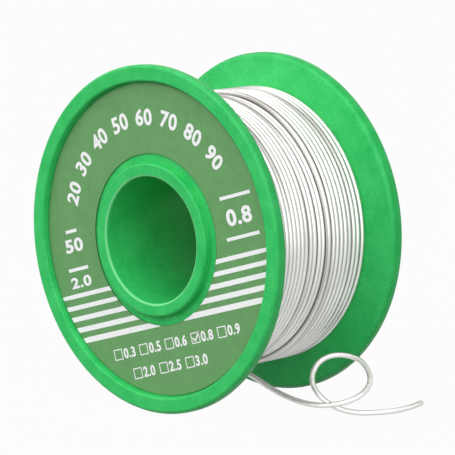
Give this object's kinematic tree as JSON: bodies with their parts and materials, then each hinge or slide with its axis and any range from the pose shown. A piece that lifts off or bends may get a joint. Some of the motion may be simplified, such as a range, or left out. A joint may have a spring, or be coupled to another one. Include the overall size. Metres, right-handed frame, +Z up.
{
  "type": "solder wire spool",
  "caption": "Flanged plastic spool with a hollow hub and bore, wound with flux-cored solder wire whose cut free end curls beside it.",
  "frame": {"origin": "on the floor, below the middle of the bore, with the spool standing on its two rims", "axes": "+Y along the bore from the labelled flange to the plain one, +Z up, +X the way the free end leaves"},
  "size_m": [0.0585, 0.027, 0.052],
  "materials": {
    "spool_plastic": "moulded, satin gloss",
    "label": "printed, satin",
    "solder": "bright drawn tin",
    "flux": "resin"
  },
  "bodies": {
    "root": {"front_half": "spool_plastic", "back_half": "spool_plastic", "front_label": "label", "winding_core": "solder", "under_turns": "solder", "outer_turns": "solder", "free_end": "solder", "flux_core": "flux"}
  },
  "joints": []
}
